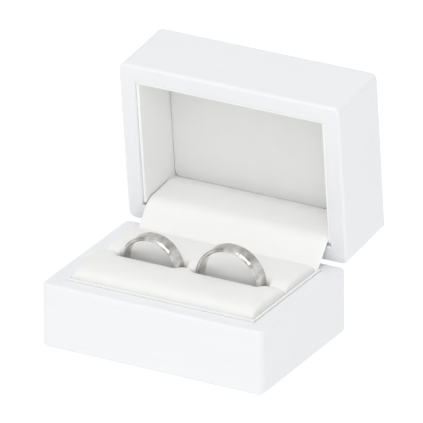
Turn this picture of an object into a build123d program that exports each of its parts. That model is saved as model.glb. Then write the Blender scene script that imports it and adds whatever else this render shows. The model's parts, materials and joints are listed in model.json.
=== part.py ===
"""Clamshell box for two rings: lacquered board case, snap hinge, leatherette lining."""
import os
from math import cos, radians, sin, tan

from build123d import *

os.makedirs("parts", exist_ok=True)

# ---- driving sizes, millimetres -------------------------------------------------
width = 80.0
depth = 57.0
base_height = 22.5
lid_height = 27.0
wall = 6.0
bottom_thickness = 3.0
top_thickness = 5.0
corner_radius = 2.5
rim_round = 1.0
inner_round = 0.5
top_round = 1.6
rim_gap = 0.15

felt_thickness = 1.0
felt_stand = 0.4
felt_inset = 0.5
felt_corner = 1.0

liner = 1.0
lip_height = 0.5
lip_clearance = 0.25
lid_liner_recess = 0.7
rear_liner_cover = 0.4
edge_round = 0.35

board = 1.0
cushion_clearance = 0.2
cushion_crest = 2.9
outer_shoulder = 0.2
slit_shoulder = 1.0
slit_width = 0.8
slot_floor = 12.0
band_clearance = 0.3
pad_thickness = 1.9
pad_clearance = 0.35
pad_corner = 1.6
pad_round = 1.2

open_angle = 84.0
pin_inset = 2.3
pin_radius = 0.8
pin_running = 0.05
knuckle_wall = 0.55
steel = 0.8
leaf_width = 36.0
leaf_drop = 8.6
knuckle_gap = 0.2
bow_width = 20.0
notch_side = 1.0
pocket_clearance = 0.4
screw_length = 3.6
screw_radius = 0.6
screw_head = 1.4
screw_head_depth = 0.7
screw_spacing = 12.0

flap_side_gap = 0.5
flap_thickness = 0.6
flap_fold = 1.0
flap_tuck = 6.6
flap_clearance = 0.4
rim_clearance = 0.1

band_width = 5.2
band_bevel = 0.4
small_bore = 9.3
small_outer = 10.5
small_x = -15.2
large_bore = 10.45
large_outer = 11.65
large_x = 13.5

cut_over = 1.0

# ---- sizes that follow -----------------------------------------------------------
inner_x = width / 2 - wall
inner_y = depth / 2 - wall
lid_inner_x = inner_x + lip_clearance
lid_inner_y = inner_y + lip_clearance
lined_x = inner_x - liner
lined_y = inner_y - liner
lid_lined_x = lid_inner_x - liner
lid_lined_y = lid_inner_y - liner
bottom_top = felt_thickness + bottom_thickness
board_top = bottom_top + board
lid_cavity = lid_height - top_thickness
pad_front = lid_cavity - board - pad_thickness

# The pins stand behind the inner face, where both halves turn clear of each other.
half_turn = radians(open_angle / 2)
pivot_setback = wall - pin_inset
pivot_depth = pivot_setback / tan(half_turn / 2)
pivot_y = depth / 2 - pivot_setback
roll_drop = pivot_depth - (pivot_depth**2 - pivot_setback**2) ** 0.5
knuckle_radius = pin_radius + knuckle_wall
leaf_front = pivot_y - knuckle_radius
leaf_back = leaf_front + steel
pocket_back = pivot_y + knuckle_radius + pocket_clearance
knuckle_low = pivot_depth + knuckle_radius + pocket_clearance
leaf_low = min(pivot_depth + leaf_drop, base_height - bottom_top)
screw_low = (knuckle_low + leaf_low) / 2
notch_low = (
    pivot_depth
    - pin_inset / tan(half_turn)
    + steel / 2 / sin(half_turn)
    + pocket_clearance
)

# The flap passes just in front of the rounded inner edge of the rim; the bow bends as
# far forward as the flap's back, and the flap folds down in front of the rear lining.
rim_reach = pin_inset * cos(half_turn) + pivot_depth * sin(half_turn)
rim_relief = inner_round * (cos(half_turn) + sin(half_turn) - 1)
flap_face = rim_reach - rim_relief + rim_clearance + flap_thickness / 2
bow_corner = pivot_depth * tan(half_turn)
bow_apex = flap_face - flap_thickness / 2 - steel / 2
bow_bend = (bow_corner - bow_apex) / (1 / cos(half_turn) - 1)
flap_width = 2 * (lined_x - flap_side_gap)
flap_behind = pin_inset + liner + flap_thickness / 2 + flap_clearance
flap_half = pivot_depth + (flap_behind - flap_face * cos(half_turn)) / sin(half_turn)
fold_rise = flap_face * sin(half_turn) + (pivot_depth - flap_half) * cos(half_turn)
rear_liner_drop = pivot_depth - fold_rise + rear_liner_cover

# ---- frames ----------------------------------------------------------------------
# The lid is drawn from its rim plane, lying in the open position. The bow is drawn
# round the base pin in the shut position's directions, turned half the opening.
turn = radians(open_angle)
lid_rim = Plane(
    origin=(0, depth / 2 * (1 - cos(turn)), base_height + depth / 2 * sin(turn)),
    x_dir=(1, 0, 0),
    z_dir=(0, sin(turn), cos(turn)),
)
lid_up = Axis(lid_rim.origin, lid_rim.z_dir)
lid_section = Plane(origin=lid_rim.origin, x_dir=lid_rim.y_dir, z_dir=(1, 0, 0))
base_section = Plane(origin=(0, 0, base_height), x_dir=(0, 1, 0), z_dir=(1, 0, 0))
bow_section = Plane(
    origin=(0, pivot_y, base_height - pivot_depth),
    x_dir=(0, cos(half_turn), -sin(half_turn)),
    z_dir=(1, 0, 0),
)


def outer_rim(part, frame, height):
    """Edges where the rim meets the outside, the rolled rear stretch included."""
    found = []
    for edge in part.edges():
        spot = frame.to_local_coords(edge.center())
        outside = abs(spot.X) > width / 2 - corner_radius or abs(spot.Y) > depth / 2 - corner_radius
        if outside and abs(spot.Z - height) < roll_drop + 0.1:
            found.append(edge)
    return found


def mitre(side, half_x, half_y, reach):
    """Corner points of the wedge that one mitred board keeps."""
    outside = cut_over
    inside = reach + cut_over
    corners = {
        "front": ((-1, -1), (1, -1)),
        "right": ((1, -1), (1, 1)),
        "rear": ((1, 1), (-1, 1)),
        "left": ((-1, 1), (-1, -1)),
    }[side]
    (ax, ay), (bx, by) = corners
    return [
        (ax * (half_x + outside), ay * (half_y + outside)),
        (bx * (half_x + outside), by * (half_y + outside)),
        (bx * (half_x - inside), by * (half_y - inside)),
        (ax * (half_x - inside), ay * (half_y - inside)),
    ]


# ---- base boards, mitred at the corners ------------------------------------------
for side in ("front", "right", "rear", "left"):
    with BuildPart() as base_board:
        with BuildSketch(Plane.XY.offset(felt_stand)):
            RectangleRounded(width, depth, corner_radius)
            Rectangle(2 * inner_x, 2 * inner_y, mode=Mode.SUBTRACT)
        extrude(amount=base_height - felt_stand)
        # the rear rim is rolled about the pin, so that the lid's rim passes it
        with BuildSketch(base_section):
            with Locations((pivot_y + wall / 2, 0)):
                Rectangle(wall, 2 * roll_drop + cut_over)
            with Locations((pivot_y, -pivot_depth)):
                Circle(pivot_depth, mode=Mode.SUBTRACT)
        extrude(amount=width, both=True, mode=Mode.SUBTRACT)
        fillet(outer_rim(base_board, Plane.XY, base_height), rim_round)
        fillet(base_board.faces().sort_by(Axis.Z)[0].outer_wire().edges(), rim_round)
        fillet(base_board.faces().sort_by(Axis.Z)[-1].inner_wires()[0].edges(), inner_round)
        with BuildSketch(Plane.XY):
            Polygon(*mitre(side, width / 2, depth / 2, wall), align=None)
        extrude(amount=base_height + cut_over, mode=Mode.INTERSECT)
        if side == "rear":
            # pocket for the knuckles, then the shallower seat of the leaf
            with BuildSketch(base_section):
                with Locations(((inner_y + pocket_back) / 2, -knuckle_low / 2)):
                    Rectangle(pocket_back - inner_y, knuckle_low)
            extrude(amount=leaf_width / 2 + pocket_clearance, both=True, mode=Mode.SUBTRACT)
            with BuildSketch(base_section):
                with Locations(((inner_y + leaf_back) / 2, -(knuckle_low + leaf_low) / 2)):
                    Rectangle(leaf_back - inner_y, leaf_low - knuckle_low)
            extrude(amount=leaf_width / 2, both=True, mode=Mode.SUBTRACT)
            screw_spot = (0, leaf_back, base_height - screw_low)
            with BuildSketch(Plane(origin=screw_spot, x_dir=(1, 0, 0), z_dir=(0, 1, 0))):
                with GridLocations(screw_spacing, 1, 3, 1):
                    Circle(screw_radius)
            extrude(amount=screw_length - steel, mode=Mode.SUBTRACT)
    base_board.part.label = f"base_{side}_wall"
    export_step(base_board.part, f"parts/base_{side}_wall.step")

with BuildPart() as base_bottom_panel:
    with BuildSketch(Plane.XY.offset(felt_thickness)):
        Rectangle(2 * inner_x, 2 * inner_y)
    extrude(amount=bottom_thickness)
base_bottom_panel.part.label = "base_bottom_panel"
export_step(base_bottom_panel.part, "parts/base_bottom_panel.step")

with BuildPart() as base_felt_pad:
    with BuildSketch(Plane.XY):
        RectangleRounded(2 * (inner_x - felt_inset), 2 * (inner_y - felt_inset), felt_corner)
    extrude(amount=felt_thickness)
base_felt_pad.part.label = "base_felt_pad"
export_step(base_felt_pad.part, "parts/base_felt_pad.step")

# ---- base lining: covered card walls that stand proud as a locating lip ----------
lip_top = base_height + lip_height
for side, toward in (("front", -1), ("rear", 1)):
    top = base_height - rear_liner_drop if side == "rear" else lip_top
    with BuildPart() as base_liner:
        with BuildSketch(Plane.XY.offset(bottom_top)):
            with Locations((0, toward * (inner_y - liner / 2))):
                Rectangle(2 * inner_x, liner)
        extrude(amount=top - bottom_top)
        fillet(base_liner.edges().group_by(Axis.Z)[-1].filter_by(Axis.X), edge_round)
        if side == "rear":
            with BuildSketch(base_section):
                with Locations((inner_y - liner / 2, -notch_low / 2)):
                    Rectangle(liner + cut_over, notch_low)
            extrude(amount=bow_width / 2 + notch_side, both=True, mode=Mode.SUBTRACT)
    base_liner.part.label = f"base_liner_{side}"
    export_step(base_liner.part, f"parts/base_liner_{side}.step")

for side, toward in (("left", -1), ("right", 1)):
    with BuildPart() as base_liner:
        with BuildSketch(Plane.XY.offset(bottom_top)):
            with Locations((toward * (inner_x - liner / 2), 0)):
                Rectangle(liner, 2 * lined_y)
        extrude(amount=lip_top - bottom_top)
        fillet(base_liner.edges().group_by(Axis.Z)[-1].filter_by(Axis.Y), edge_round)
    base_liner.part.label = f"base_liner_{side}"
    export_step(base_liner.part, f"parts/base_liner_{side}.step")

# ---- cushion: board, two soft rolls and the strip that the rings stand on --------
with BuildPart() as cushion_board:
    with BuildSketch(Plane.XY.offset(bottom_top)):
        Rectangle(2 * lined_x, 2 * lined_y)
    extrude(amount=board)
cushion_board.part.label = "cushion_board"
export_step(cushion_board.part, "parts/cushion_board.step")

# Each roll is crowned. The two nearly meet along a slit, and each is pressed back by
# the bands, so it has half of a pocket that takes each band from above.
roll_half_x = lined_x - cushion_clearance
roll_front = -(lined_y - cushion_clearance)
roll_back = pivot_y - flap_face - flap_thickness / 2 - cushion_clearance
roll_low = board_top - base_height
pocket_half = band_width / 2 + band_clearance
strip_half = pocket_half - cushion_clearance
for side, outer_y, slit_y in (
    ("front", roll_front, -slit_width / 2),
    ("back", roll_back, slit_width / 2),
):
    with BuildPart() as cushion:
        with BuildSketch(base_section):
            with BuildLine():
                Polyline(
                    (outer_y, outer_shoulder),
                    (outer_y, roll_low),
                    (slit_y, roll_low),
                    (slit_y, slit_shoulder),
                )
                Spline(
                    (slit_y, slit_shoulder),
                    ((outer_y + slit_y) / 2, cushion_crest),
                    (outer_y, outer_shoulder),
                    tangents=((0, 1), (0, -1)),
                )
            make_face()
        extrude(amount=roll_half_x, both=True)
        with BuildSketch(Plane.XY.offset(board_top)):
            Rectangle(2 * width, 2 * (strip_half + cushion_clearance / 2))
        extrude(amount=slot_floor - board_top, mode=Mode.SUBTRACT)
        for ring_x, outer in ((small_x, small_outer), (large_x, large_outer)):
            ring_z = slot_floor + outer
            reach = outer + band_clearance
            pocket_plane = Plane(origin=(ring_x, 0, ring_z), x_dir=(1, 0, 0), z_dir=(0, -1, 0))
            with BuildSketch(pocket_plane):
                Circle(reach)
                with Locations((0, outer)):
                    Rectangle(2 * reach, 2 * outer)
            extrude(amount=pocket_half, both=True, mode=Mode.SUBTRACT)
    cushion.part.label = f"cushion_{side}"
    export_step(cushion.part, f"parts/cushion_{side}.step")

with BuildPart() as cushion_strip:
    with BuildSketch(Plane.XY.offset(board_top)):
        Rectangle(2 * roll_half_x, 2 * strip_half)
    extrude(amount=slot_floor - board_top)
cushion_strip.part.label = "cushion_slot_strip"
export_step(cushion_strip.part, "parts/cushion_slot_strip.step")

# ---- lid boards -------------------------------------------------------------------
for side in ("front", "right", "rear", "left"):
    with BuildPart() as lid_board:
        with BuildSketch(lid_rim.offset(rim_gap)):
            RectangleRounded(width, depth, corner_radius)
            Rectangle(2 * lid_inner_x, 2 * lid_inner_y, mode=Mode.SUBTRACT)
        extrude(amount=lid_cavity - rim_gap)
        with BuildSketch(lid_section):
            with Locations((pivot_y + wall / 2, rim_gap)):
                Rectangle(wall, 2 * roll_drop + cut_over)
            with Locations((pivot_y, pivot_depth)):
                Circle(pivot_depth - rim_gap, mode=Mode.SUBTRACT)
        extrude(amount=width, both=True, mode=Mode.SUBTRACT)
        fillet(outer_rim(lid_board, lid_rim, rim_gap), rim_round)
        fillet(lid_board.faces().sort_by(lid_up)[0].inner_wires()[0].edges(), inner_round)
        with BuildSketch(lid_rim):
            Polygon(*mitre(side, width / 2, depth / 2, wall), align=None)
        extrude(amount=lid_height, mode=Mode.INTERSECT)
        if side == "rear":
            with BuildSketch(lid_section):
                with Locations(((lid_inner_y + pocket_back) / 2, knuckle_low / 2)):
                    Rectangle(pocket_back - lid_inner_y, knuckle_low)
            extrude(amount=leaf_width / 2 + pocket_clearance, both=True, mode=Mode.SUBTRACT)
            with BuildSketch(lid_section):
                with Locations(((lid_inner_y + leaf_back) / 2, (knuckle_low + leaf_low) / 2)):
                    Rectangle(leaf_back - lid_inner_y, leaf_low - knuckle_low)
            extrude(amount=leaf_width / 2, both=True, mode=Mode.SUBTRACT)
            screw_spot = lid_rim.from_local_coords((0, leaf_back, screw_low))
            with BuildSketch(Plane(origin=screw_spot, x_dir=(1, 0, 0), z_dir=lid_rim.y_dir)):
                with GridLocations(screw_spacing, 1, 3, 1):
                    Circle(screw_radius)
            extrude(amount=screw_length - steel, mode=Mode.SUBTRACT)
    lid_board.part.label = f"lid_{side}_wall"
    export_step(lid_board.part, f"parts/lid_{side}_wall.step")

with BuildPart() as lid_top_panel:
    with BuildSketch(lid_rim.offset(lid_cavity)):
        RectangleRounded(width, depth, corner_radius)
    extrude(amount=top_thickness)
    fillet(lid_top_panel.faces().sort_by(lid_up)[-1].edges(), top_round)
lid_top_panel.part.label = "lid_top_panel"
export_step(lid_top_panel.part, "parts/lid_top_panel.step")

# ---- lid lining -------------------------------------------------------------------
for side, toward in (("front", -1), ("rear", 1)):
    recess = rear_liner_drop if side == "rear" else lid_liner_recess
    with BuildPart() as lid_liner:
        with BuildSketch(lid_rim.offset(recess)):
            with Locations((0, toward * (lid_inner_y - liner / 2))):
                Rectangle(2 * lid_inner_x, liner)
        extrude(amount=lid_cavity - recess)
        fillet(lid_liner.edges().group_by(lid_up)[0].filter_by(Axis.X), edge_round)
        if side == "rear":
            with BuildSketch(lid_section):
                with Locations((lid_inner_y - liner / 2, notch_low / 2)):
                    Rectangle(liner + cut_over, notch_low)
            extrude(amount=bow_width / 2 + notch_side, both=True, mode=Mode.SUBTRACT)
    lid_liner.part.label = f"lid_liner_{side}"
    export_step(lid_liner.part, f"parts/lid_liner_{side}.step")

lid_deep = Axis(lid_rim.origin, lid_rim.y_dir)
for side, toward in (("left", -1), ("right", 1)):
    with BuildPart() as lid_liner:
        with BuildSketch(lid_rim.offset(lid_liner_recess)):
            with Locations((toward * (lid_inner_x - liner / 2), 0)):
                Rectangle(liner, 2 * lid_lined_y)
        extrude(amount=lid_cavity - lid_liner_recess)
        fillet(lid_liner.edges().group_by(lid_up)[0].filter_by(lid_deep), edge_round)
    lid_liner.part.label = f"lid_liner_{side}"
    export_step(lid_liner.part, f"parts/lid_liner_{side}.step")

with BuildPart() as lid_pad_board:
    with BuildSketch(lid_rim.offset(lid_cavity - board)):
        Rectangle(2 * lid_lined_x, 2 * lid_lined_y)
    extrude(amount=board)
lid_pad_board.part.label = "lid_pad_board"
export_step(lid_pad_board.part, "parts/lid_pad_board.step")

with BuildPart() as lid_pad:
    with BuildSketch(lid_rim.offset(pad_front)):
        RectangleRounded(
            2 * (lid_lined_x - pad_clearance), 2 * (lid_lined_y - pad_clearance), pad_corner
        )
    extrude(amount=pad_thickness)
    fillet(lid_pad.faces().sort_by(lid_up)[0].edges(), pad_round)
lid_pad.part.label = "lid_pad"
export_step(lid_pad.part, "parts/lid_pad.step")

# ---- snap hinge -------------------------------------------------------------------
# One leaf in each rear board: a plate under the lining with a knuckle at each end.
bow_half = bow_width / 2
for half, section, up in (("base", base_section, -1), ("lid", lid_section, 1)):
    with BuildPart() as leaf:
        with BuildSketch(section):
            with Locations((pivot_y, up * pivot_depth)):
                Circle(knuckle_radius)
            with Locations(((leaf_front + leaf_back) / 2, up * (pivot_depth + leaf_low) / 2)):
                Rectangle(steel, leaf_low - pivot_depth)
            with Locations((pivot_y, up * pivot_depth)):
                Circle(pin_radius, mode=Mode.SUBTRACT)
        extrude(amount=leaf_width / 2, both=True)
        with BuildSketch(section):
            with Locations((pivot_y, up * knuckle_low / 2)):
                Rectangle(4 * knuckle_radius, knuckle_low)
        extrude(amount=bow_half + knuckle_gap, both=True, mode=Mode.SUBTRACT)
        face_spot = section.from_local_coords((leaf_front, up * screw_low, 0))
        with BuildSketch(Plane(origin=face_spot, x_dir=(1, 0, 0), z_dir=section.x_dir)):
            with GridLocations(screw_spacing, 1, 3, 1):
                Circle(screw_radius)
        extrude(amount=steel, mode=Mode.SUBTRACT)
        with BuildSketch(Plane(origin=face_spot, x_dir=(1, 0, 0), z_dir=section.x_dir)):
            with GridLocations(screw_spacing, 1, 3, 1):
                Circle(screw_head)
        extrude(amount=screw_head_depth, taper=45, mode=Mode.SUBTRACT)
    leaf.part.label = f"hinge_leaf_{half}"
    export_step(leaf.part, f"parts/hinge_leaf_{half}.step")

    with BuildPart() as screws:
        with BuildSketch(Plane(origin=face_spot, x_dir=(1, 0, 0), z_dir=section.x_dir)):
            with GridLocations(screw_spacing, 1, 3, 1):
                Circle(screw_radius)
        extrude(amount=screw_length)
        with BuildSketch(Plane(origin=face_spot, x_dir=(1, 0, 0), z_dir=section.x_dir)):
            with GridLocations(screw_spacing, 1, 3, 1):
                Circle(screw_head)
        extrude(amount=screw_head_depth, taper=45)
    screws.part.label = f"hinge_screws_{half}"
    export_step(screws.part, f"parts/hinge_screws_{half}.step")

    with BuildPart() as pin:
        with BuildSketch(section):
            with Locations((pivot_y, up * pivot_depth)):
                Circle(pin_radius)
        extrude(amount=leaf_width / 2, both=True)
    pin.part.label = f"hinge_pin_{half}"
    export_step(pin.part, f"parts/hinge_pin_{half}.step")

# The bow: two straight legs from the pins, joined by one bend at the front.
with BuildPart() as hinge_bow:
    with BuildSketch(bow_section):
        with BuildLine():
            FilletPolyline(
                (0, 0),
                (-bow_corner, pivot_depth),
                (0, 2 * pivot_depth),
                radius=bow_bend,
            )
        trace(line_width=steel)
        with Locations((0, 0), (0, 2 * pivot_depth)):
            Circle(knuckle_radius)
        with Locations((0, 0), (0, 2 * pivot_depth)):
            Circle(pin_radius + pin_running, mode=Mode.SUBTRACT)
    extrude(amount=bow_half, both=True)
hinge_bow.part.label = "hinge_bow"
export_step(hinge_bow.part, "parts/hinge_bow.step")

# The flap: one strip that hides the bow and tucks in front of both rear linings.
flap_y = -flap_face
tuck_y = flap_tuck * sin(half_turn)
tuck_z = flap_tuck * cos(half_turn)
with BuildPart() as hinge_flap:
    with BuildSketch(bow_section):
        with BuildLine():
            FilletPolyline(
                (flap_y + tuck_y, pivot_depth - flap_half - tuck_z),
                (flap_y, pivot_depth - flap_half),
                (flap_y, pivot_depth + flap_half),
                (flap_y + tuck_y, pivot_depth + flap_half + tuck_z),
                radius=flap_fold,
            )
        trace(line_width=flap_thickness)
    extrude(amount=flap_width / 2, both=True)
hinge_flap.part.label = "hinge_flap"
export_step(hinge_flap.part, "parts/hinge_flap.step")

# ---- the two rings, standing in the slot ------------------------------------------
for size, ring_x, bore, outer in (
    ("small", small_x, small_bore, small_outer),
    ("large", large_x, large_bore, large_outer),
):
    ring_z = slot_floor + outer
    half_band = band_width / 2
    with BuildPart() as ring:
        with BuildSketch(Plane(origin=(ring_x, 0, ring_z), z_dir=(0, 0, 1))):
            Polygon(
                (bore, -half_band + band_bevel / 2),
                (bore + band_bevel / 2, -half_band),
                (outer - band_bevel, -half_band),
                (outer, -half_band + band_bevel),
                (outer, half_band - band_bevel),
                (outer - band_bevel, half_band),
                (bore + band_bevel / 2, half_band),
                (bore, half_band - band_bevel / 2),
                align=None,
            )
        revolve(axis=Axis((ring_x, 0, ring_z), (0, 1, 0)))
    ring.part.label = f"ring_{size}"
    export_step(ring.part, f"parts/ring_{size}.step")
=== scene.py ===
import json
import math

import bpy
import numpy as np
from mathutils import Matrix, Vector


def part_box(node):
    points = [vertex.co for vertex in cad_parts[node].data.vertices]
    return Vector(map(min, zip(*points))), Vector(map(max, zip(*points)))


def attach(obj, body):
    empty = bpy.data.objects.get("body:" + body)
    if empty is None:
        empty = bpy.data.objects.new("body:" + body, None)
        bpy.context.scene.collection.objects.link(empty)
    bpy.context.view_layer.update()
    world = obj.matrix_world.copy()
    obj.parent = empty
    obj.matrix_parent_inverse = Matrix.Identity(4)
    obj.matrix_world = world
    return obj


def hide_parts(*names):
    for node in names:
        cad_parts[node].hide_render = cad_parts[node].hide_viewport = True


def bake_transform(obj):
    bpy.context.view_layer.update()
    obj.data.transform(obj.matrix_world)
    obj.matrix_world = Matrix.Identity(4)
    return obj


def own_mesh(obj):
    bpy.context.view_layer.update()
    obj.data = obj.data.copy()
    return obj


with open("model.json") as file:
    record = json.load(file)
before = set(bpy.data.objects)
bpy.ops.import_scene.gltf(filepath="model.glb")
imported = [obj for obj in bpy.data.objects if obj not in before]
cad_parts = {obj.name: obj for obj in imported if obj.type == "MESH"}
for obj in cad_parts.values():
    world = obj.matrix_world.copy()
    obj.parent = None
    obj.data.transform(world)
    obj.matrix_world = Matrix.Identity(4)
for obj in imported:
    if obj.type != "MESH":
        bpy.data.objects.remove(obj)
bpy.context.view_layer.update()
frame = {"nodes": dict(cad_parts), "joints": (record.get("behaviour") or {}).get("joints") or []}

MM = 0.001
PLAY = 0.03 * MM  # air between a roll and its lining
GRIP = 0.06 * MM  # air between a roll and a band
SLIT_HALF = 0.04 * MM
PRESS_FADE = 2.2 * MM  # how far past a band's end the roll is still pressed back
SHOULDER_DROP = 0.55 * MM  # the rolls' shoulder, under the lining's lip
SHOULDER_SHARE = 0.35  # the part of the crown that the rolls' ends keep
PAD_SPREAD = 0.28 * MM
PAD_SEAM = 0.9 * MM
PAD_CROWN = 0.5 * MM
FLAP_THICK = 0.5 * MM
FLAP_SPREAD = 0.42 * MM
FLAP_ROLL_GAP = 0.1 * MM
SEAM_ROW = 0.02 * MM  # a short first row that keeps the flap's shading straight to its middle
BEND_OUTSIDE = 2.2 * MM  # the flap's bend, from outside the fold ...
BEND_INSIDE = 3.3 * MM  # ... to inside it
BAND_BEVEL = 0.45 * MM
BOX_CENTRE = (0, 0, 0.03)

# ---------------------------------------------------------------- the box's own places
pivots = {j["name"]: np.array(j["pos_m"]) for j in frame["joints"] if j["type"] == "hinge"}
base_pin = pivots["hinge_base_pivot"]
lid_pin = pivots["hinge_lid_pivot"]
pin_gap = lid_pin - base_pin
half_turn = math.atan2(pin_gap[1], pin_gap[2])
pin_depth = np.linalg.norm(pin_gap) / 2
turn = 2 * half_turn
rear_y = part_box("base_rear_wall")[1][1]
rim_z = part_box("base_front_wall")[1][2]


def lid_place(x, y, z):
    """Lid directions to the row frame: y to the lid's hinge side, z from its rim into it."""
    along = np.array([0.0, math.cos(turn), -math.sin(turn)])
    inward = np.array([0.0, math.sin(turn), math.cos(turn)])
    corner = np.array([0.0, rear_y, rim_z])
    x, y, z = np.broadcast_arrays(x, y, z)
    spot = corner + (y - rear_y)[..., None] * along + z[..., None] * inward
    spot[..., 0] = x
    return spot


def bow_place(x, y, z):
    """The bow's directions when the box is shut, measured from the base pin, to the row frame."""
    cos, sin = math.cos(half_turn), math.sin(half_turn)
    x, y, z = np.broadcast_arrays(x, y, z)
    return np.stack([x, base_pin[1] + y * cos + z * sin, base_pin[2] - y * sin + z * cos], axis=-1)


def plain_place(x, y, z):
    x, y, z = np.broadcast_arrays(x, y, z)
    return np.stack([x, y, z], axis=-1)


def lid_local(node):
    """Lowest and highest corner of a lid node, in lid directions."""
    mesh = frame["nodes"][node].data
    co = np.empty(len(mesh.vertices) * 3)
    mesh.vertices.foreach_get("co", co)
    co = co.reshape(-1, 3)
    back = co - np.array([0.0, rear_y, rim_z])
    y = rear_y + back[:, 1] * math.cos(turn) - back[:, 2] * math.sin(turn)
    z = back[:, 1] * math.sin(turn) + back[:, 2] * math.cos(turn)
    local = np.stack([co[:, 0], y, z], axis=1)
    return local.min(0), local.max(0)


# ---------------------------------------------------------------- surfaces to meshes
def closed_surface(name, points):
    """A grid of points (rows, columns, 3) as a closed mesh. The last column joins the first,
    and the first and last row each close on one point, the mean of that row."""
    rows, columns = points.shape[:2]
    index = np.arange(rows * columns).reshape(rows, columns)
    index = np.concatenate([index, index[:, :1]], axis=1)
    a, b = index[:-1, :-1], index[:-1, 1:]
    c, d = index[1:, 1:], index[1:, :-1]
    faces = np.stack([a, b, c, d], axis=-1).reshape(-1, 4).tolist()
    verts = points.reshape(-1, 3)
    ends = np.stack([points[0].mean(0), points[-1].mean(0)])
    first = len(verts)
    verts = np.concatenate([verts, ends])
    head, tail = index[0], index[-1]
    faces += [[first, j, i] for i, j in zip(head[:-1].tolist(), head[1:].tolist())]
    faces += [[first + 1, i, j] for i, j in zip(tail[:-1].tolist(), tail[1:].tolist())]
    mesh = bpy.data.meshes.new(name)
    mesh.from_pydata(verts.tolist(), [], faces)
    mesh.validate()
    mesh.polygons.foreach_set("use_smooth", [True] * len(mesh.polygons))
    mesh.update()
    obj = bpy.data.objects.new(name, mesh)
    bpy.context.scene.collection.objects.link(obj)
    if enclosed(mesh) < 0:
        mesh.flip_normals()
    return obj


def enclosed(mesh):
    """Signed volume inside a closed mesh: positive when its faces point outwards."""
    mesh.calc_loop_triangles()
    tri = np.empty(len(mesh.loop_triangles) * 3, dtype=np.int64)
    mesh.loop_triangles.foreach_get("vertices", tri)
    co = np.empty(len(mesh.vertices) * 3)
    mesh.vertices.foreach_get("co", co)
    corner = co.reshape(-1, 3)[tri.reshape(-1, 3)]
    corner = corner - corner.mean((0, 1))
    return float(np.einsum("ij,ij->i", corner[:, 0], np.cross(corner[:, 1], corner[:, 2])).sum())


def signed_power(value, power):
    return np.sign(value) * np.abs(value) ** power


# ---------------------------------------------------------------- finishes
def new_finish(name, colour, rough):
    finish = bpy.data.materials.new(name)
    finish.use_nodes = True
    nodes = finish.node_tree.nodes
    shader = nodes["Principled BSDF"]
    shader.inputs["Base Color"].default_value = (*colour, 1)
    shader.inputs["Roughness"].default_value = rough
    return finish, nodes, finish.node_tree.links, shader


def object_pattern(nodes, links, stretch=(1, 1, 1)):
    """Object coordinates, stretched along each axis."""
    place = nodes.new("ShaderNodeTexCoord")
    scaled = nodes.new("ShaderNodeMapping")
    scaled.inputs["Scale"].default_value = stretch
    links.new(place.outputs["Object"], scaled.inputs["Vector"])
    return scaled.outputs["Vector"]


def noise(nodes, links, vector, scale, detail=3.0, rough=0.5):
    tex = nodes.new("ShaderNodeTexNoise")
    tex.inputs["Scale"].default_value = scale
    tex.inputs["Detail"].default_value = detail
    tex.inputs["Roughness"].default_value = rough
    links.new(vector, tex.inputs["Vector"])
    return tex.outputs["Fac"]


def ramp(nodes, links, value, low, high, start, end):
    """value from low..high drawn out to start..end."""
    node = nodes.new("ShaderNodeMapRange")
    for key, number in (("From Min", low), ("From Max", high), ("To Min", start), ("To Max", end)):
        node.inputs[key].default_value = number
    links.new(value, node.inputs["Value"])
    return node.outputs["Result"]


def tint(nodes, links, value, dark, light):
    node = nodes.new("ShaderNodeMix")
    node.data_type = "RGBA"
    node.inputs["A"].default_value = (*dark, 1)
    node.inputs["B"].default_value = (*light, 1)
    links.new(value, node.inputs["Factor"])
    return node.outputs["Result"]


def emboss(nodes, links, shader, height, strength, distance, under=None):
    node = nodes.new("ShaderNodeBump")
    node.inputs["Strength"].default_value = strength
    node.inputs["Distance"].default_value = distance
    links.new(height, node.inputs["Height"])
    if under is not None:
        links.new(under, node.inputs["Normal"])
    links.new(node.outputs["Normal"], shader.inputs["Normal"])
    return node.outputs["Normal"]


def lacquer(name, stretch):
    """White lacquer: faint lines of the board's grain, drawn out along it, under a soft coat."""
    finish, nodes, links, shader = new_finish(name, (0.84, 0.85, 0.87), 0.34)
    grain = noise(nodes, links, object_pattern(nodes, links, stretch), 900, 4.0, 0.55)
    cloud = noise(nodes, links, object_pattern(nodes, links), 60, 2.0)
    tone = ramp(nodes, links, grain, 0.35, 0.65, 0, 1)
    white = tint(nodes, links, tone, (0.832, 0.842, 0.862), (0.842, 0.852, 0.872))
    links.new(white, shader.inputs["Base Color"])
    links.new(ramp(nodes, links, cloud, 0.3, 0.7, 0.28, 0.38), shader.inputs["Roughness"])
    shader.inputs["Coat Weight"].default_value = 0.25
    shader.inputs["Coat Roughness"].default_value = 0.12
    emboss(nodes, links, shader, grain, 0.12, 0.00005)
    return finish


def leatherette(name, light, dark, grain_size=0.00045, strength=0.25):
    """Off-white leatherette: small rounded pebbles with creases between, softly mottled."""
    finish, nodes, links, shader = new_finish(name, light, 0.5)
    vector = object_pattern(nodes, links)
    pebble = nodes.new("ShaderNodeTexVoronoi")
    pebble.feature = "SMOOTH_F1"
    pebble.inputs["Scale"].default_value = 1 / grain_size
    pebble.inputs["Smoothness"].default_value = 0.6
    links.new(vector, pebble.inputs["Vector"])
    mottle = noise(nodes, links, vector, 140, 4.0)
    tone = ramp(nodes, links, mottle, 0.3, 0.7, 0, 1)
    links.new(tint(nodes, links, tone, dark, light), shader.inputs["Base Color"])
    links.new(ramp(nodes, links, mottle, 0.3, 0.7, 0.45, 0.58), shader.inputs["Roughness"])
    shader.inputs["Sheen Weight"].default_value = 0.08
    shader.inputs["Sheen Roughness"].default_value = 0.4
    soft = emboss(nodes, links, shader, mottle, 0.2, 0.0002)
    emboss(nodes, links, shader, pebble.outputs["Distance"], strength, -0.00006, soft)
    return finish


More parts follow.
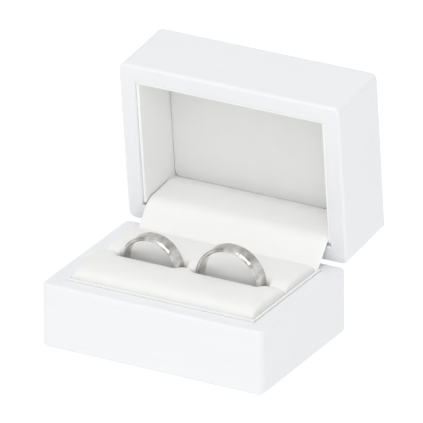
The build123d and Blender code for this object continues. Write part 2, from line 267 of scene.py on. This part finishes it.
def steel(name, colour, rough, stretch):
    """Stamped steel: drawn lines along the strip and a slightly uneven polish."""
    finish, nodes, links, shader = new_finish(name, colour, rough)
    shader.inputs["Metallic"].default_value = 1.0
    lines = noise(nodes, links, object_pattern(nodes, links, stretch), 1500, 3.0)
    links.new(ramp(nodes, links, lines, 0.3, 0.7, rough - 0.08, rough + 0.08), shader.inputs["Roughness"])
    emboss(nodes, links, shader, lines, 0.15, 0.00003)
    return finish


def card():
    """Plain buff card with short fibres."""
    finish, nodes, links, shader = new_finish("plain_card", (0.62, 0.58, 0.5), 0.85)
    fibre = noise(nodes, links, object_pattern(nodes, links), 1800, 6.0, 0.6)
    tone = ramp(nodes, links, fibre, 0.3, 0.7, 0, 1)
    buff = tint(nodes, links, tone, (0.58, 0.54, 0.46), (0.68, 0.64, 0.56))
    links.new(buff, shader.inputs["Base Color"])
    emboss(nodes, links, shader, fibre, 0.3, 0.0001)
    return finish


def felt():
    """Pale wool felt with a fine nap."""
    finish, nodes, links, shader = new_finish("pale_felt", (0.8, 0.79, 0.76), 0.95)
    fibre = noise(nodes, links, object_pattern(nodes, links), 2600, 8.0, 0.7)
    tone = ramp(nodes, links, fibre, 0.3, 0.7, 0, 1)
    wool = tint(nodes, links, tone, (0.7, 0.69, 0.66), (0.86, 0.85, 0.82))
    links.new(wool, shader.inputs["Base Color"])
    shader.inputs["Sheen Weight"].default_value = 0.5
    emboss(nodes, links, shader, fibre, 0.6, 0.0003)
    return finish


def band_metal(name, node):
    """White gold: fine lines brushed round the outside, polished on both edges and the bore,
    with painted reflections: slow light and dark zones round it in the base colour."""
    low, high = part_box(node)
    centre, half = (low + high) / 2, (high - low) / 2
    finish, nodes, links, shader = new_finish(name, (0.62, 0.6, 0.57), 0.3)
    shader.inputs["Metallic"].default_value = 1.0
    place = nodes.new("ShaderNodeTexCoord")
    moved = nodes.new("ShaderNodeMapping")
    moved.inputs["Location"].default_value = tuple(-centre)
    links.new(place.outputs["Object"], moved.inputs["Vector"])
    part = nodes.new("ShaderNodeSeparateXYZ")
    links.new(moved.outputs["Vector"], part.inputs["Vector"])

    def maths(operation, first, second=None):
        step = nodes.new("ShaderNodeMath")
        step.operation = operation
        for socket, value in zip(step.inputs, (first, second)):
            if value is None:
                continue
            if isinstance(value, (int, float)):
                socket.default_value = value
            else:
                links.new(value, socket)
        return step.outputs[0]

    x, y, z = part.outputs["X"], part.outputs["Y"], part.outputs["Z"]
    radius = maths("SQRT", maths("ADD", maths("MULTIPLY", x, x), maths("MULTIPLY", z, z)))
    angle = maths("ARCTAN2", z, x)
    lines_at = nodes.new("ShaderNodeCombineXYZ")
    links.new(maths("MULTIPLY", y, 9000.0), lines_at.inputs["X"])
    links.new(maths("MULTIPLY", radius, 9000.0), lines_at.inputs["Y"])
    links.new(maths("MULTIPLY", angle, 5.0), lines_at.inputs["Z"])
    lines = noise(nodes, links, lines_at.outputs["Vector"], 1.0, 3.0, 0.6)
    off_edges = maths("LESS_THAN", maths("ABSOLUTE", y), half[1] - BAND_BEVEL)
    off_bore = maths("GREATER_THAN", radius, half[0] - BAND_BEVEL)
    on_top = maths("MULTIPLY", off_edges, off_bore)
    links.new(ramp(nodes, links, on_top, 0, 1, 0.07, 0.32), shader.inputs["Roughness"])
    # painted reflection: slow zones round the band, dark grey to near white in the base colour, stand in
    # for reflected studio light and shade
    painted_reflection_at = nodes.new("ShaderNodeCombineXYZ")
    links.new(maths("MULTIPLY", angle, 2.6), painted_reflection_at.inputs["X"])
    links.new(maths("MULTIPLY", y, 130.0), painted_reflection_at.inputs["Y"])
    painted_reflection_zones = noise(nodes, links, painted_reflection_at.outputs["Vector"], 1.0, 3.0, 0.55)
    tone = ramp(nodes, links, painted_reflection_zones, 0.36, 0.64, 0, 1)
    metal = tint(nodes, links, tone, (0.44, 0.42, 0.39), (0.86, 0.85, 0.84))
    links.new(metal, shader.inputs["Base Color"])
    brushed = maths("MULTIPLY", lines, on_top)
    emboss(nodes, links, shader, brushed, 0.35, 0.00002)
    return finish


# ---------------------------------------------------------------- padded and sheet pieces
def soft_roll(name, node, facing, rows=420, columns=144):
    """A leatherette roll along X that meets its neighbour along the slit and is pressed back
    by each band. Above the shoulder its section is the superellipse
    |y/depth|^3 + |z/crest|^2.4 = 1, and below it is nearly square; towards both ends its
    height falls as (1 - |s|^26)^(1/4) of the crown and the ends themselves round over as
    (1 - |s|^60)^(1/60). facing is the side the slit is on. On that side the section is drawn
    in to the face y = meet + (band face - meet) * press(x), where press is 1 along a band
    and falls off beyond each end of it as a smooth step."""
    low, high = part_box(node)
    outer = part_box("base_liner_front")[1][1]
    lining_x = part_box("base_liner_right")[0][0]
    s = np.linspace(-1, 1, rows)[:, None]
    s = np.sign(s) * (1 - (1 - np.abs(s)) ** 1.5)
    t = np.linspace(0, 2 * math.pi, columns, endpoint=False)[None, :]
    half_x = lining_x - PLAY
    x = half_x * s * np.ones_like(t)
    end = (1 - np.minimum(np.abs(s), 0.9999) ** 60) ** (1 / 60)
    crown = (1 - np.minimum(np.abs(s), 0.9999) ** 26) ** (1 / 4)
    press = np.zeros_like(s)
    for band in ("ring_small", "ring_large"):
        band_low, band_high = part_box(band)
        middle, reach = (band_low[0] + band_high[0]) / 2, (band_high[0] - band_low[0]) / 2
        outside = np.maximum(np.abs(half_x * s - middle) - reach, 0)
        fall = np.clip(1 - outside / PRESS_FADE, 0, 1)
        press = np.maximum(press, fall * fall * (3 - 2 * fall))
    face = SLIT_HALF + (band_high[1] + GRIP - SLIT_HALF) * press
    outer_y = outer + PLAY if facing > 0 else back_y
    slit_y = -face if facing > 0 else face
    middle_y = outer_y * 0.5
    wave, across = np.sin(t), np.cos(t)
    above = wave > 0
    sideways = np.where(above, signed_power(across, 2 / 3.2), signed_power(across, 0.12))
    to_slit = across * facing > 0
    depth = np.where(to_slit, np.abs(slit_y - middle_y), abs(outer_y - middle_y))
    y = middle_y + depth * sideways * end
    lip_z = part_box("base_liner_front")[1][2]
    shoulder = lip_z - SHOULDER_DROP
    rise = (high[2] - shoulder) * (SHOULDER_SHARE + (1 - SHOULDER_SHARE) * crown)
    up = np.where(above, signed_power(wave, 0.8), signed_power(wave, 0.12))
    z = shoulder + np.where(above, rise * up, (shoulder - low[2]) * up) * end
    return closed_surface(name, plain_place(x, y, z))


def crowned_pad(name, node, rows=110, columns=240):
    """A thin pad in the bottom of the lid: its outline is the superellipse
    |x|^30 + |y|^30 = 1, its front crowns gently as 1 - r^2 and rolls over to the seam as
    (1 - r^40)^(1/2), and its back is flat."""
    low, high = lid_local(node)
    centre, half = (low + high) / 2, (high - low) / 2
    half = half + np.array([PAD_SPREAD, PAD_SPREAD, 0.0])
    t = np.linspace(0, 2 * math.pi, columns, endpoint=False)[None, :]
    v = np.linspace(0.0, 2.0, rows)[:, None]
    r = np.where(v < 1, np.sin(v * math.pi / 2) ** 0.6, np.sin((2 - v) * math.pi / 2) ** 0.6)
    r = np.clip(r, 1e-4, 1)
    outline = (np.abs(np.cos(t)) ** 30 + np.abs(np.sin(t)) ** 30) ** (-1 / 30)
    x = centre[0] + half[0] * r * outline * np.cos(t)
    y = centre[1] + half[1] * r * outline * np.sin(t)
    roll = np.sqrt(np.maximum(1 - r**40, 0))
    seam = high[2] - PAD_SEAM
    crest = low[2] + PAD_CROWN * r**2
    z = np.where(v < 1, seam - (seam - crest) * roll, seam + (high[2] - seam) * roll)
    return closed_surface(name, lid_place(x, y, z))


def flap_shape(node):
    """The strip's measures in the bow's directions: where its face nearest the front stands,
    the half length between its folds, and its half width."""
    mesh = frame["nodes"][node].data
    co = np.empty(len(mesh.vertices) * 3)
    mesh.vertices.foreach_get("co", co)
    back = co.reshape(-1, 3) - base_pin
    y = back[:, 1] * math.cos(half_turn) - back[:, 2] * math.sin(half_turn)
    z = back[:, 1] * math.sin(half_turn) + back[:, 2] * math.cos(half_turn)
    on_face = y < y.min() + 0.01 * MM
    fold_round = 1.3 * MM * math.tan(half_turn / 2)
    half_length = np.abs(z[on_face] - pin_depth).max() + fold_round
    return y.min(), half_length, co[0::3].max() + FLAP_SPREAD


def flap_half(name, side, tail, thick, radius, rows=90, columns=90):
    """Half of the leatherette strip over the hinge, from its middle to one body's lining.
    side is -1 for the base and 1 for the lid. The middle line is straight in front of the
    bow, turns through half the opening on an arc and runs straight down the lining for the
    length tail; the strip is that line carried along X and thickened both ways, and its long
    edges are rounded by (1 - |s|^60)^(1/2). Measured in the bow's directions."""
    flat = fold_half - radius * math.tan(half_turn / 2)
    arc = radius * half_turn
    length = flat + arc + tail
    u = np.concatenate([[-SEAM_ROW], np.linspace(0, length, rows - 1)])
    on_arc = np.clip((u - flat) / radius, 0, half_turn)
    past = np.maximum(u - flat - arc, 0)
    y = flap_face + thick / 2 + radius * (1 - np.cos(on_arc)) + past * math.sin(half_turn)
    z = np.minimum(u, flat) + radius * np.sin(on_arc) + past * math.cos(half_turn)
    normal = np.stack([-np.cos(on_arc), np.sin(on_arc)], axis=1)
    line = np.stack([y, z], axis=1)
    s = np.sin(np.linspace(-1, 1, columns) * math.pi / 2)
    round_edge = (thick / 2 * np.sqrt(np.maximum(1 - np.abs(s) ** 60, 0)))[None, :, None]
    front = line[:, None, :] + normal[:, None, :] * round_edge
    rear = line[:, None, :] - normal[:, None, :] * round_edge
    loop = np.concatenate([front, rear[:, ::-1]], axis=1)
    x = np.broadcast_to((np.concatenate([s, s[::-1]]) * flap_reach)[None, :], loop.shape[:2])
    points = bow_place(x, loop[..., 0], pin_depth + side * loop[..., 1])
    return closed_surface(name, points), 2 * flap_reach, length


def thin_slab(name, low, high, edge=8, rows=40, columns=120):
    """A flat rectangular sheet with rounded edges: a superellipsoid with high powers."""
    centre, half = (low + high) / 2, (high - low) / 2
    t = np.linspace(0, 2 * math.pi, columns, endpoint=False)[None, :]
    v = np.linspace(-math.pi / 2, math.pi / 2, rows)[:, None]
    ring = (np.abs(np.cos(t)) ** 20 + np.abs(np.sin(t)) ** 20) ** (-1 / 20)
    r = np.abs(np.cos(v)) ** (1 / edge)
    x = centre[0] + half[0] * r * ring * np.cos(t)
    y = centre[1] + half[1] * r * ring * np.sin(t)
    z = centre[2] + half[2] * np.sin(v) * np.ones_like(t)
    return closed_surface(name, plain_place(x, y, z))


# ---------------------------------------------------------------- the build
board_along_x = lacquer("lacquer_long_boards", (0.05, 1, 1))
board_along_y = lacquer("lacquer_side_boards", (1, 0.05, 0.05))
# one off-white leatherette in four brightnesses: the lid lining is its own colour; the lip copy and the
# cushion and lid pad copy are darker, painted shade, and the flap copy is lighter, painted light
lining = leatherette("lining_leatherette", (0.95, 0.95, 0.94), (0.935, 0.935, 0.925))
shaded_lip_lining = leatherette("lip_leatherette_painted_shade", (0.86, 0.86, 0.85), (0.845, 0.845, 0.835))
shaded_padding = leatherette("cushion_leatherette_painted_shade", (0.848, 0.848, 0.838), (0.833, 0.833, 0.823))
lit_flap_skin = leatherette("flap_leatherette_painted_light", (0.905, 0.905, 0.895), (0.89, 0.89, 0.88))
hinge_steel = steel("hinge_strip_steel", (0.6, 0.6, 0.62), 0.32, (0.05, 1, 1))
screw_steel = steel("screw_steel", (0.55, 0.55, 0.56), 0.25, (1, 1, 1))
plain_card = card()
pale_felt = felt()

for node, obj in frame["nodes"].items():
    if node.endswith(("front_wall", "rear_wall", "top_panel", "bottom_panel")):
        finish = board_along_x
    elif node.endswith("_wall"):
        finish = board_along_y
    elif node.startswith("base_liner"):
        finish = shaded_lip_lining
    elif node.startswith("lid_liner"):
        finish = lining
    elif node.endswith("board"):
        finish = plain_card
    elif node.startswith("hinge_screws"):
        finish = screw_steel
    elif node.startswith("hinge_") and node != "hinge_flap":
        finish = hinge_steel
    elif node.startswith("ring_"):
        finish = band_metal(f"{node}_white_gold", node)
    else:
        finish = shaded_padding
    obj.data.materials.clear()
    obj.data.materials.append(finish)


def settle(obj, finish, body, slot, *nodes):
    """Gives a new piece its finish and body, and hides the nodes it stands for. slot is not used."""
    obj.data.materials.append(finish)
    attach(obj, body)
    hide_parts(*nodes)


# the back roll reaches to the flap while the box is open
flap_face, fold_half, flap_reach = flap_shape("hinge_flap")
leg_y = bow_place(np.array(0.0), flap_face + FLAP_THICK / 2, pin_depth - fold_half)[1]
back_y = leg_y - FLAP_THICK / 2 - FLAP_ROLL_GAP
front_roll = soft_roll("front_roll", "cushion_front", 1)
settle(front_roll, shaded_padding, "base", "soft_padding", "cushion_front")
back_roll = soft_roll("back_roll", "cushion_back", -1)
settle(back_roll, shaded_padding, "base", "soft_padding", "cushion_back")
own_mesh(back_roll)
slot_low, slot_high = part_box("cushion_slot_strip")
slot_pad = thin_slab("slot_pad", slot_low, slot_high, 10)
settle(slot_pad, shaded_padding, "base", "soft_padding", "cushion_slot_strip")
lid_cushion = crowned_pad("lid_cushion", "lid_pad")
settle(lid_cushion, shaded_padding, "lid", "soft_padding", "lid_pad")
flap_ends = (("base", -1, 6.0 * MM, 3.0 * MM), ("lid", 1, 11.6 * MM, 7.0 * MM))
for body, side, tail, radius in flap_ends:
    name = f"hinge_flap_{body}_half"
    part, flap_width, flap_length = flap_half(name, side, tail, FLAP_THICK, radius)
    part.data.materials.append(lit_flap_skin)
    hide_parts("hinge_flap")
    fold = bow_place(np.array(0.0), flap_face, pin_depth + side * (fold_half + BEND_OUTSIDE))
    middle = bow_place(np.array(0.0), flap_face, pin_depth + side * (fold_half - BEND_INSIDE))
    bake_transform(part)
felt_low, felt_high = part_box("base_felt_pad")
felt_sheet = thin_slab("underside_felt", felt_low, felt_high, 6)
settle(felt_sheet, pale_felt, "base", "felt", "base_felt_pad")


# ---------------------------------------------------------------- room, light and camera
def studio():
    """An even white room and a floor of pale paper that hardly shows a shadow."""
    scene = bpy.context.scene
    scene.view_settings.view_transform = "Standard"
    scene.view_settings.look = "None"
    world = bpy.data.worlds.new("studio")
    scene.world = world
    world.use_nodes = True
    sky = world.node_tree.nodes["Background"]
    sky.inputs["Color"].default_value = (1, 1, 1, 1)
    sky.inputs["Strength"].default_value = 0.7

    floor_mesh = bpy.data.meshes.new("floor")
    side = 4.0
    corners = [(-side, -side, 0), (side, -side, 0), (side, side, 0), (-side, side, 0)]
    floor_mesh.from_pydata(corners, [], [(0, 1, 2, 3)])
    floor = bpy.data.objects.new("floor", floor_mesh)
    scene.collection.objects.link(floor)
    paper, _, _, shader = new_finish("floor_paper", (0.15, 0.15, 0.15), 0.9)
    shader.inputs["Emission Color"].default_value = (1, 1, 1, 1)
    shader.inputs["Emission Strength"].default_value = 0.9
    floor_mesh.materials.append(paper)


def lamp(name, place, size, watts):
    """A square soft light that faces the box."""
    data = bpy.data.lights.new(name, "AREA")
    data.size = size
    data.energy = watts
    obj = bpy.data.objects.new(name, data)
    obj.location = place
    obj.rotation_mode = "QUATERNION"
    obj.rotation_quaternion = (Vector(BOX_CENTRE) - Vector(place)).to_track_quat("-Z", "Y")
    bpy.context.scene.collection.objects.link(obj)


def camera():
    """A long lens in front of the box's right front corner, looking down a little."""
    data = bpy.data.cameras.new("camera")
    data.sensor_width = 36
    data.lens = 743
    data.clip_end = 50
    obj = bpy.data.objects.new("camera", data)
    obj.location = (1.2281, -2.2068, 1.1812)
    look = Vector((-0.44164, 0.79782, -0.41042))
    obj.rotation_mode = "QUATERNION"
    roll = Matrix.Rotation(math.radians(0.28), 4, look.normalized()).to_quaternion()
    obj.rotation_quaternion = roll @ look.to_track_quat("-Z", "Y")
    bpy.context.scene.collection.objects.link(obj)
    bpy.context.scene.camera = obj


studio()
lamp("key", (0.5, -1.2, 1.1), 1.0, 6.4)
lamp("top", (-0.2, -0.4, 1.8), 1.0, 7.0)
camera()
